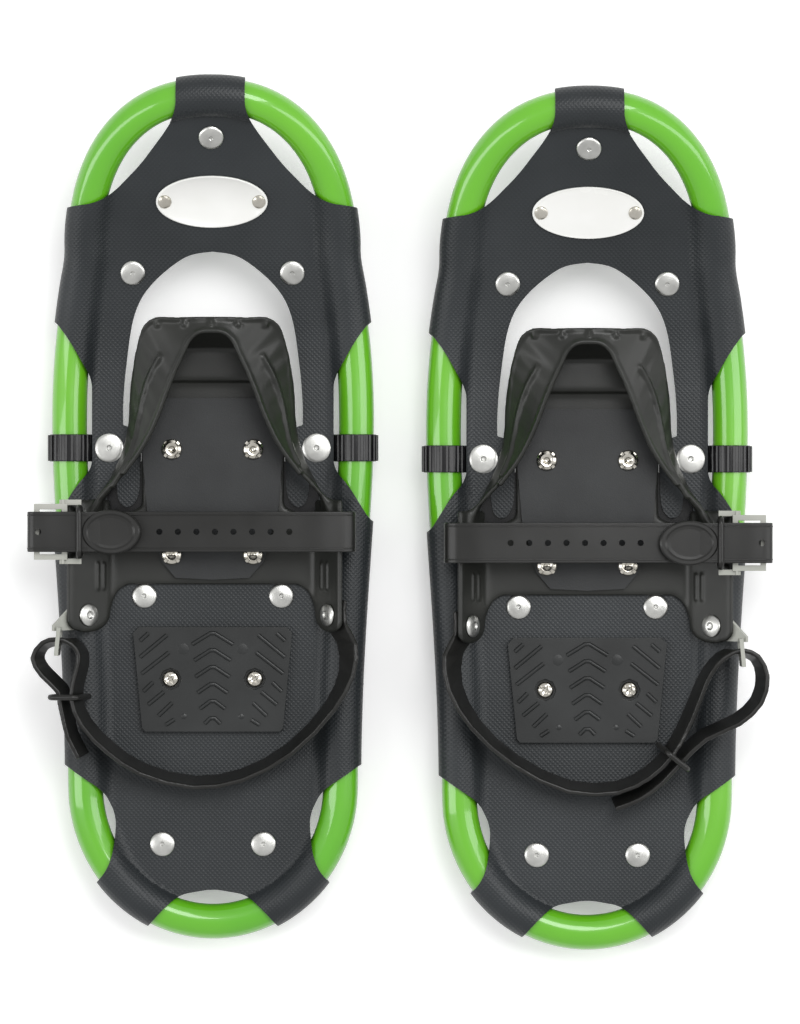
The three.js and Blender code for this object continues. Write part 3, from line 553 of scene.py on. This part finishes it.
for deck in pair(sheet, "deck", deck_fabric):
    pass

# %% [markdown]
# ## Rivets and bolts
# A rivet is a turned part, so its outline is spun about its axis. Each one is set square on the
# face it holds, at the middle of the frame's own rivet.

# %% Turned parts
def turned(name, profile, steps=32):
    mesh = bpy.data.meshes.new(name)
    edges = [(i, i + 1) for i in range(len(profile) - 1)]
    mesh.from_pydata([(r * MM, 0, z * MM) for r, z in profile], edges, [])
    piece = only(linked(name, mesh))
    bpy.ops.object.mode_set(mode="EDIT")
    bpy.ops.mesh.select_all(action="SELECT")
    bpy.ops.mesh.spin(steps=steps, angle=2 * math.pi, center=(0, 0, 0), axis=(0, 0, 1))
    bpy.ops.object.mode_set(mode="OBJECT")
    return smooth(outward(piece), 30)


def copied(piece, name, place, about_x=0.0, about_y=0.0):
    made = linked(name, piece.data.copy())
    turn = Matrix.Rotation(about_y, 4, "Y") @ Matrix.Rotation(about_x, 4, "X")
    made.data.transform(Matrix.Translation(place) @ turn)
    return made


SHANK_R, RIVET_TAIL_T = 2.4, 0.9


def rivet_profile(radius, height, dimple, depth, grip, tail):
    return [
        (0, height - depth), (dimple * 0.6, height - depth * 0.9), (dimple, height - 0.05),
        (dimple * 1.25, height), (radius * 0.78, height * 0.86), (radius * 0.95, height * 0.5),
        (radius, height * 0.18), (radius * 0.98, 0), (SHANK_R, 0), (SHANK_R, -grip),
        (tail, -grip), (tail, -grip - RIVET_TAIL_T), (0, -grip - RIVET_TAIL_T),
    ]


FLAP_T = 1.2
deck_rivet = turned("deck_rivet", rivet_profile(6.7, 1.5, 1.2, 0.5, DECK_T + FLAP_T + 2 * GAP, 4.5))
DECK_RIVETS = {
    "toe_rivet": (0, 199.8), "mid_rivet_inner": (43.2, 128), "mid_rivet_outer": (-43.2, 128),
    "tail_rivet_inner": (27.4, -181.4), "tail_rivet_outer": (-27.4, -181.4),
}
for name, (x, y) in DECK_RIVETS.items():
    place = spot(x, y, DECK_TOP + lift(y) + GAP)
    pair(copied(deck_rivet, "left_" + name, place, about_x=slope(y)), name, rivet_metal)

# %% [markdown]
# Two more deck rivets sit at the binding's rear edge. The frame leaves them to this lesson: they
# are made like the rest, and ride with the frames. The two large pivot rivets are flatter.

# %% Rear and pivot rivets
SIDES = {"inner": 1, "outer": -1}
REAR_RIVET_X, REAR_RIVET_Y = 37.2, -46.8
PIVOT_RIVET_X = 56.2
for side, sign in SIDES.items():
    place = spot(sign * REAR_RIVET_X, REAR_RIVET_Y, DECK_TOP + GAP)
    rear = copied(deck_rivet, f"left_rear_rivet_{side}", place)
    twin = mirror_copy(rear, f"right_rear_rivet_{side}")
    for piece in (rear, twin):
        piece.data.materials.append(rivet_metal)
        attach(piece, "frames")

pivot_rivet = turned("pivot_rivet", rivet_profile(7.8, 1.0, 1.5, 0.6, 4.9, 5))
for side, sign in SIDES.items():
    place = spot(sign * PIVOT_RIVET_X, PIVOT_FORWARD, DECK_TOP + GAP)
    rivet = copied(pivot_rivet, f"left_pivot_rivet_{side}", place)
    pair(rivet, f"pivot_rivet_{side}", rivet_metal)

# %% [markdown]
# The ear rivets stand square on the tilted ears. An ear leans from the wing's root to its top, and
# the rivet takes its tilt from that line.

# %% Ear rivets
WING_ROOT = (57.5, 30.5)
WING_TOP = {"inner": (70, 48.5), "outer": (78, 47.5)}
EAR_Y = -57
WING_T = 3


def ear(side):
    sign = SIDES[side]
    (x0, z0), (x1, z1) = WING_ROOT, WING_TOP[side]
    angle = math.atan2(z1 - z0, x1 - x0)
    up = (-sign * math.sin(angle), math.cos(angle))
    return sign * (x0 + x1) / 2, (z0 + z1) / 2, -sign * angle, up


EAR_LIFT = WING_T / 2 + GAP
ear_rivet = turned("ear_rivet", rivet_profile(6.1, 1.6, 2.2, 0.9, WING_T + 2.8, SHANK_R))
for side in SIDES:
    x, z, tilt, up = ear(side)
    place = spot(x + up[0] * EAR_LIFT, EAR_Y, z + up[1] * EAR_LIFT)
    rivet = copied(ear_rivet, f"left_ear_rivet_{side}", place, about_y=tilt)
    pair(rivet, f"ear_rivet_{side}", rivet_metal)

# %% [markdown]
# The binding bolts have a domed head with four notches for a spanner. The head is turned first,
# then four small blocks are cut from its rim.

# %% Binding bolts
PAD_TOP = 32.3
BOLT_TOP = PAD_TOP + GAP
BOLT_GRIP, NUT_T = 13.8, 2.4
BOLT_X = 22
BOLT_ENDS = {"front": 32.6, "rear": -24.4}
bolt = turned("bolt", [
    (0, 1.5), (1.6, 1.5), (2.0, 2.5), (3.4, 2.6), (4.9, 2.0), (5.5, 1.0), (5.5, 0), (2.5, 0),
    (2.5, -BOLT_GRIP), (4.2, -BOLT_GRIP), (4.2, -BOLT_GRIP - NUT_T), (0, -BOLT_GRIP - NUT_T),
])
for quarter in range(4):
    bpy.ops.object.select_all(action="DESELECT")
    angle = math.radians(45 + 90 * quarter)
    place = Vector((math.cos(angle), math.sin(angle), 0)) * 5.2 * MM
    bpy.ops.mesh.primitive_cube_add(size=1, location=place + Vector((0, 0, 2.2 * MM)), rotation=(0, 0, angle))
    notch = bpy.context.view_layer.objects.active
    notch.scale = (3.4 * MM, 1.7 * MM, 2.4 * MM)
    combine(bolt, notch, "DIFFERENCE")
smooth(bolt, 30)
for side, sign in SIDES.items():
    for end, y in BOLT_ENDS.items():
        name = f"{end}_bolt_{side}"
        place = spot(sign * BOLT_X, y, BOLT_TOP)
        pair(copied(bolt, "left_" + name, place), name, bolt_metal)

for spare in (deck_rivet, pivot_rivet, ear_rivet, bolt):
    bpy.data.objects.remove(spare)

# %% [markdown]
# ## Name plate
# A plain white oval with a thin raised rim, held by two small steel rivets. It is left blank.

# %% Name plate
PLATE_Y = 166.2
PLATE_Z = DECK_TOP + lift(PLATE_Y) + GAP + 0.5
PLATE_HALF_WIDTH, PLATE_HALF_LENGTH = 0.0301, 0.0146  # metres
PLATE_RIVET_X = 25.5
plate_profile = [(0, 0.9), (0.93, 0.9), (0.95, 1.25), (0.985, 1.25), (1.0, 1.0), (1.0, 0), (0, 0)]
plate = turned("left_name_plate", [(r * 1000, z) for r, z in plate_profile], steps=64)
plate.data.transform(Matrix.Diagonal((PLATE_HALF_WIDTH, PLATE_HALF_LENGTH, 1, 1)))
plate_parts = [plate]
for x in (-PLATE_RIVET_X, PLATE_RIVET_X):
    head = turned("head", [(0, 2.3), (2.2, 2.1), (3.4, 1.6), (3.8, 1.0), (3.8, 0.5), (0, 0.5)], steps=24)
    head.data.transform(Matrix.Translation((x * MM, 0, 0)))
    plate_parts.append(head)
for part, material in zip(plate_parts, (plate_white, bolt_metal, bolt_metal)):
    part.data.materials.append(material)
plate = join(*plate_parts)
plate.data.transform(Matrix.Translation(spot(0, PLATE_Y, PLATE_Z)) @ Matrix.Rotation(slope(PLATE_Y), 4, "X"))
twin_plate = mirror_copy(plate, "right_name_plate")
for piece, node_name in ((plate, "left_name_plate"), (twin_plate, "right_name_plate")):
    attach(piece, "frames")
    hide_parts(node_name)
print("name plates:", len(plate.data.polygons), "faces each")

# %% [markdown]
# ## The harness
# The binding is one rubber moulding: a base, a cage over the toes, wings and ears. Its shape comes
# from the frame, and a first melt rounds its facets. The grip ribs are laid on it as thin tubes,
# found by dropping points onto the surface, and a lighter melt makes one soft-edged skin of it all.

# %% Drop ribs onto a surface
DROP_FROM = 120


def drop(piece, x, y, sink):
    start = spot(x, y, DROP_FROM)
    hit, place, _, _ = piece.ray_cast(start, Vector((0, 0, -1)))
    return place - Vector((0, 0, sink * MM)) if hit else None


def ribs_on(piece, lines, radius, sink):
    made = []
    for line in lines:
        points = [drop(piece, x, y, sink) for x, y in line]
        points = [point for point in points if point]
        made.append(tube_along("rib", points, radius, sides=3, smooth_line=len(points) > 2))
    return made


LEG_RIB = [(27, 83), (33, 72), (37, 60), (39.5, 48), (42, 36), (47, 24), (54, 12)]
WINDOW_EDGE = [
    (0, 96, 61.6), (9, 94, 61.6), (16, 82, 60.6), (23, 66, 58.6), (29, 50, 56), (37, 34, 52.4),
    (48, 19, 47.8),
]
BAND_EDGE = [
    (0, 102.6, 59.2), (18, 102.3, 58.4), (33, 101.2, 53), (39.2, 88, 44.6), (42, 67, 39.4), (43.4, 46, 38),
]
leg_ribs = [[(side * x, y) for x, y in LEG_RIB] for side in (-1, 1)]
front_ribs = [[(x, 98.5), (x, 100.5), (x, 102.6)] for x in (-29, -14.5, 0, 14.5, 29)]
wing_ribs = [[(side * x, -43), (side * x, -29)] for side in (-1, 1) for x in (59, 62)]
harness = melt(frame_copy("left_harness"), 0.9, 24)
rib_tubes = []
for lines, radius, sink in ((leg_ribs, 1.7, 0.5), (front_ribs, 1.6, 0.0), (wing_ribs, 1.0, 0.2)):
    rib_tubes += ribs_on(harness, lines, radius, sink)
for name, edge, radius in (("window_rim", WINDOW_EDGE, 1.5), ("outer_rim", BAND_EDGE, 1.1)):
    rim = [(-x, y, z) for x, y, z in reversed(edge[1:])] + edge
    rib_tubes.append(tube_along(name, [spot(x, y, z) for x, y, z in rim], radius, sides=3))
harness = join(harness, *rib_tubes)
melt(harness, 0.85, 3)
pair(harness, "harness", harness_rubber)

# %% [markdown]
# The foot pad and the crampons need only rounded edges and their own finish.

# %% Foot pad and crampons
dressed = {}
for node_name, material, slot_name, edge in (
    ("foot_pad", pad_plastic, "pad_plastic", 0.8),
    ("toe_crampon", crampon_metal, "crampon_steel", 0.4),
    ("heel_crampon", crampon_metal, "crampon_steel", 0.4),
):
    piece = soft_edges(frame_copy("left_" + node_name), edge)
    dressed[node_name] = pair(smooth(piece), node_name, material)

# %% [markdown]
# The heel crampon comes with plain bolt heads. They are sliced off, and a domed screw head with
# a cross recess takes their place in each counterbore.

# %% Heel screws
HEEL_SCREWS = [(22.8, -91.8), (-22.8, -91.8)]
HEAD_Z = 27.7
CROSS_TURN = 0.6
for crampon in dressed["heel_crampon"]:
    only(crampon)
    bpy.ops.object.mode_set(mode="EDIT")
    bpy.ops.mesh.select_all(action="SELECT")
    bpy.ops.mesh.bisect(plane_co=(0, 0, HEAD_Z * MM), plane_no=(0, 0, 1), use_fill=True, clear_outer=True)
    bpy.ops.object.mode_set(mode="OBJECT")


def cross_head(name, radius, height):
    head = turned(name, [
        (0, height), (radius * 0.45, height * 0.95), (radius * 0.8, height * 0.7),
        (radius, height * 0.2), (radius, 0), (0, 0),
    ])
    for angle in (CROSS_TURN, CROSS_TURN + math.pi / 2):
        bpy.ops.object.select_all(action="DESELECT")
        bpy.ops.mesh.primitive_cube_add(size=1, location=(0, 0, height * MM), rotation=(0, 0, angle))
        slot_cut = bpy.context.view_layer.objects.active
        slot_cut.scale = (radius * 1.1 * MM, 0.9 * MM, 1.5 * MM)
        combine(head, slot_cut, "DIFFERENCE")
    return smooth(head, 30)


screw = cross_head("screw", 4.5, 2.0)
for side, (x, y) in zip(("inner", "outer"), HEEL_SCREWS):
    head = copied(screw, f"left_heel_screw_{side}", spot(x, y, HEAD_Z + 0.02))
    twin = mirror_copy(head, f"right_heel_screw_{side}")
    for piece in (head, twin):
        piece.data.materials.append(bolt_metal)
        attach(piece, "frames")
bpy.data.objects.remove(screw)

# %% [markdown]
# ## The heel pad
# The pad's grip pattern is a column of chevrons with slanted bars on both sides. A bar is a
# straight round-topped ridge, so each is a short tube sunk most of the way into the pad.

# %% Heel pad
heel_pad = soft_edges(frame_copy("left_heel_pad"), 0.7)
PAD_Z = 30.0
bars = []
FIRST_PEAK, CHEVRON_PITCH = -66.5, 9.2
for i, reach in enumerate((11, 9.8, 9.2, 8, 6.7, 4.2)):
    peak = FIRST_PEAK - CHEVRON_PITCH * i
    drop_back = 0.45 * reach + 1.5
    arm = [(1.3, peak - 0.5), (reach, peak - drop_back)]
    bars.append([(-x, y) for x, y in reversed(arm)] + arm)
SIDE_BARS = [
    [(39.2, -71), (34.8, -67)], [(39.2, -79.9), (24.8, -68)], [(38.3, -88.8), (23.7, -77.4)],
    [(37.4, -98.4), (32.4, -93.6)], [(34.8, -105.6), (26.5, -98.8)], [(29.2, -111.6), (22, -104.8)],
    [(25.3, -116.6), (20.9, -113.8)],
]
for side in (-1, 1):
    bars += [[(side * x, y) for x, y in bar] for bar in SIDE_BARS]
pad_parts = [heel_pad]
for bar in bars:
    points = [spot(x, y, PAD_Z - 0.1) for x, y in bar]
    pad_parts.append(tube_along("bar", points, 1.2, sides=4, smooth_line=False))
for side in (-1, 1):
    for x, y, radius in ((16, -75.5, 3), (15.5, -112, 1.6)):
        mark = turned("mark", [(0, 0.16), (radius - 0.2, 0.16), (radius, 0), (radius, -0.4), (0, -0.4)], 24)
        mark.data.transform(Matrix.Translation(spot(side * x, y, PAD_Z)))
        pad_parts.append(mark)
heel_pad = join(*pad_parts)
smooth(heel_pad)
pair(heel_pad, "heel_pad", heel_plastic)

# %% [markdown]
# ## Collars and the pivot strap
# The strap that carries the foot ends in collars round the tube, ribbed along the tube. A thin black
# sheet runs back from the strap under the deck as painted shade: it makes the gaps beside the foot dark.

# %% Collars
RIBS_ROUND, RIB_R, RIB_HALF = 22, 0.75, 7.0
# Where the black sheet of painted shade sits, under the gaps beside the foot.
SHADE_SHEET_X, SHADE_SHEET_Y, SHADE_SHEET_Z = 48.2, -3.9, 22.1
SHADE_SHEET_SIZE = (23.6 * MM, 60.2 * MM, 1.0 * MM)


def collar(name, side):
    piece = soft_edges(frame_copy(f"left_pivot_strap_{name}"), 0.5, 2)
    x = side * frame_x(PIVOT_FORWARD)
    reach = TUBE_R + GAP + 1.55
    ribs = []
    for i in range(RIBS_ROUND):
        angle = 2 * math.pi * i / RIBS_ROUND
        along = [
            spot(x + reach * math.cos(angle), PIVOT_FORWARD + end, TUBE_Z + reach * math.sin(angle))
            for end in (-RIB_HALF, RIB_HALF)
        ]
        ribs.append(tube_along("rib", along, RIB_R, sides=2, smooth_line=False))
    # The black sheet is painted shade: seen through the gaps beside the foot, it makes them dark.
    bpy.ops.object.select_all(action="DESELECT")
    bpy.ops.mesh.primitive_cube_add(size=1, location=spot(side * SHADE_SHEET_X, SHADE_SHEET_Y, SHADE_SHEET_Z))
    shade_sheet = bpy.context.view_layer.objects.active
    shade_sheet.scale = SHADE_SHEET_SIZE
    bpy.ops.object.transform_apply(location=True, rotation=True, scale=True)
    return join(piece, soft_edges(shade_sheet, 0.3, 2), *ribs)


for name, side in SIDES.items():
    pair(smooth(collar(name, side)), f"pivot_strap_{name}", collar_plastic)
middle = smooth(frame_copy("left_pivot_strap_middle"))
pair(middle, "pivot_strap_middle", collar_plastic)

# %% [markdown]
# ## The straps
# A rubber strap is a flat strip between two edge lines. Each line is a curve turned to edges, the
# two are bridged, and the strip is thickened and rounded.

# %% A strap between two edge lines
WEB_T = 2.5
HOLE_R = 1.7


def edge_line(name, points):
    curve = bpy.data.curves.new(name, "CURVE")
    curve.dimensions = "3D"
    curve.resolution_u = 5
    spline = curve.splines.new("BEZIER")
    spline.bezier_points.add(len(points) - 1)
    for knot, point in zip(spline.bezier_points, points):
        knot.co = point
        knot.handle_left_type = knot.handle_right_type = "AUTO"
    only(linked(name, curve))
    bpy.ops.object.convert(target="MESH")
    return bpy.context.view_layer.objects.active


def strap_between(name, low, high):
    strip = join(edge_line(name, low), edge_line(name + "_high", high))
    only(strip)
    bpy.ops.object.mode_set(mode="EDIT")
    bpy.ops.mesh.select_all(action="SELECT")
    bpy.ops.mesh.bridge_edge_loops()
    bpy.ops.mesh.select_all(action="DESELECT")
    bpy.ops.object.mode_set(mode="OBJECT")
    apply_modifier(strip, "SOLIDIFY", thickness=WEB_T * MM, offset=0, use_even_offset=True)
    return outward(strip)


def punch(strap, place, direction):
    bpy.ops.object.select_all(action="DESELECT")
    turn = Vector(direction).to_track_quat("Z", "Y").to_euler()
    bpy.ops.mesh.primitive_cylinder_add(
        vertices=20, radius=HOLE_R * MM, depth=9 * MM, location=place, rotation=turn,
    )
    return combine(strap, bpy.context.view_layer.objects.active, "DIFFERENCE")


print("strap tools ready")

# %% [markdown]
# The instep strap starts outside the inner wing, crosses the foot, passes under its buckle, turns
# back round the buckle's bar and ends in an oval tab that lies on top. A fine bead runs along
# both its edges.

# %% Instep strap
STRAP_CLEAR = 1.2
STRAP_LOW = WING_TOP["outer"][1] + STRAP_CLEAR + GAP + WEB_T / 2
LAYER = 6.4
STRAP_HIGH = STRAP_LOW + LAYER
LOOP_X = -99
INSTEP_Y = -12
INSTEP_HALF = 21.7 / 2
middle_z = (STRAP_LOW + STRAP_HIGH) / 2
INSTEP_LINE = [
    (74.2, STRAP_LOW - 9), (76.6, STRAP_LOW - 2.5), (74.5, STRAP_LOW + 3), (66, STRAP_LOW + 5.2),
    (48, STRAP_LOW + 5.7), (30, STRAP_LOW + 5.5), (10, STRAP_LOW + 4.5), (-10, STRAP_LOW + 3),
    (-40, STRAP_LOW + 0.6), (-62, STRAP_LOW), (-80, STRAP_LOW), (LOOP_X + 6, STRAP_LOW),
    (LOOP_X + 2.2, middle_z - 2.56), (LOOP_X + 1.25, middle_z), (LOOP_X + 2.2, middle_z + 2.56),
    (LOOP_X + 6, STRAP_HIGH), (-80, STRAP_HIGH), (-66, STRAP_HIGH), (-50, STRAP_HIGH - 0.8),
]
instep_edges = [[spot(x, INSTEP_Y + side * INSTEP_HALF, z) for x, z in INSTEP_LINE] for side in (-1, 1)]
instep = strap_between("left_instep_strap", *instep_edges)
soft_edges(instep, 0.5, angle=50)
BEAD_INSET = 1.9


def bead(first, last, lifted):
    made = []
    run = INSTEP_LINE[first:last]
    for side in (-1, 1):
        points = []
        for i, (x, z) in enumerate(run):
            before, after = run[max(i - 1, 0)], run[min(i + 1, len(run) - 1)]
            along = Vector((after[0] - before[0], after[1] - before[1])).normalized()
            y = INSTEP_Y + side * (INSTEP_HALF - BEAD_INSET)
            points.append(spot(x + along.y * lifted, y, z - along.x * lifted))
        made.append(tube_along("bead", points, 0.5, sides=2))
    return made


beads = bead(1, 10, WEB_T / 2 - 0.2) + bead(11, 18, -WEB_T / 2 + 0.2)
for x in range(-28, 43, 10):
    punch(instep, spot(x, INSTEP_Y, STRAP_LOW + 4), (0, 0, 1))
punch(instep, spot(-93, INSTEP_Y, STRAP_HIGH), (0, 0, 1))
TAB_X, TAB_HALF_WIDTH, TAB_HALF_LENGTH = -54, 16, 12
tab = turned("tab", [
    (0, 3.0), (0.62, 3.0), (0.74, 3.1), (0.82, 3.7), (0.93, 3.7), (0.99, 3.2), (1.0, 2.8), (1.0, 0.3),
    (0.96, 0), (0, 0),
], 56)
tab.data.transform(Matrix.Diagonal((TAB_HALF_WIDTH, TAB_HALF_LENGTH, 1, 1)))
tab.data.transform(Matrix.Translation(spot(TAB_X, INSTEP_Y, STRAP_HIGH - 2)))
smooth(instep, 40)
instep = join(instep, tab, *beads)
pair(instep, "instep_strap", strap_rubber)

# %% [markdown]
# The buckles are cast, so they keep the frame's shape with well rounded edges. The keepers are
# rubber rings, and a ring is a tube bent round a rectangle with soft corners.

# %% Buckles and keepers
for node_name in ("instep_buckle", "heel_buckle"):
    piece = soft_edges(frame_copy("left_" + node_name), 0.7)
    pair(smooth(piece, 40), node_name, buckle_grey)

KEEPER_R, KEEPER_CORNER = 1.6, 3.2


def ring(name, centre, across, up, half_across, half_up):
    points = []
    for quarter, (u, v) in enumerate(((1, 1), (-1, 1), (-1, -1), (1, -1))):
        for step in range(5):
            angle = math.pi / 2 * (quarter + step / 4)
            a = u * (half_across + KEEPER_R - KEEPER_CORNER) + KEEPER_CORNER * math.cos(angle)
            b = v * (half_up + KEEPER_R - KEEPER_CORNER) + KEEPER_CORNER * math.sin(angle)
            points.append(centre + (across * a + up * b) * MM)
    return tube_along(name, points, KEEPER_R, closed=True, sides=5, smooth_line=False)


instep_keeper = ring(
    "left_instep_keeper", spot(-71, INSTEP_Y, middle_z), Vector((0, 1, 0)), Vector((0, 0, 1)),
    INSTEP_HALF + 0.6, (LAYER + WEB_T) / 2 + 0.7,
)
pair(instep_keeper, "instep_keeper", strap_rubber)

LEAN = math.radians(-14)
HEEL_KEEPERS = {"left": ((-76.6, -101, 47.3), (0, 1)), "right": ((-45.8, -127.5, 42.4), (-0.64, 0.77))}
for side, (place, run) in HEEL_KEEPERS.items():
    along = Vector((*run, 0)).normalized()
    up = (Vector((0, 0, 1)) + Vector((along.y, -along.x, 0)) * math.tan(LEAN)).normalized()
    keeper = ring(f"{side}_heel_keeper", spot(*place), up.cross(along), up, 6, 11.4)
    if side == "right":
        original = keeper
        keeper = mirror_copy(original, "right_heel_keeper_ring")
        bpy.data.objects.remove(original)
    hand_over(keeper, f"{side}_heel_keeper", strap_rubber)

# %% [markdown]
# ## The heel straps
# These lie loose behind the heel, each in its own curve, standing on edge and leaning outwards.
# The frame's solid already follows that curve, so it is copied, and its facets are melted away.

# %% Heel straps
for side in ("left", "right"):
    name = f"{side}_heel_strap"
    strap = melt(frame_copy(name), 0.6, 10)
    hand_over(strap, name, strap_rubber)

# %% [markdown]
# ## Floor, light and world
# A pale floor, one large soft lamp overhead and two weaker ones beside it. The world is a light
# grey, so that lacquer and metal have something soft to reflect.

# %% Floor
FLOOR_GLOW = 0.27
bpy.ops.object.select_all(action="DESELECT")
bpy.ops.mesh.primitive_plane_add(size=12, location=(0, 0, -0.0005))
floor = bpy.context.view_layer.objects.active
floor.name = "floor"
floor_material = new_material("floor", (0.93, 0.93, 0.93), 0.8)
floor.data.materials.append(floor_material)
# Seen straight by the camera the floor glows a little, so that it stays near white in the shade.
ray = floor_material.node_tree.nodes.new("ShaderNodeLightPath").outputs["Is Camera Ray"]
plug(floor_material, span(floor_material, ray, 0.0, FLOOR_GLOW), "Emission Strength")
floor_material.node_tree.nodes["Principled BSDF"].inputs["Emission Color"].default_value = (1, 1, 1, 1)

# %% Lamps and world
def lamp(name, place, size, power):
    data = bpy.data.lights.new(name, "AREA")
    data.shape = "RECTANGLE"
    data.size, data.size_y = size
    data.energy = power
    made = linked(name, data)
    made.location = place
    made.rotation_euler = (-Vector(place)).to_track_quat("-Z", "Y").to_euler()


lamp("overhead", (0.5, 0.9, 2.4), (1.2, 1.2), 26)
lamp("left", (-2.0, -0.2, 1.6), (0.6, 2.4), 16)
lamp("right", (2.0, 0.2, 1.6), (0.6, 2.4), 14)
WORLD_STRENGTH = 0.62
world = bpy.data.worlds.new("world")
world.use_nodes = True
world.node_tree.nodes["Background"].inputs["Color"].default_value = (1, 1, 1, 1)
world.node_tree.nodes["Background"].inputs["Strength"].default_value = WORLD_STRENGTH
scene.world = world
scene.view_settings.view_transform = "Standard"
print("lit")
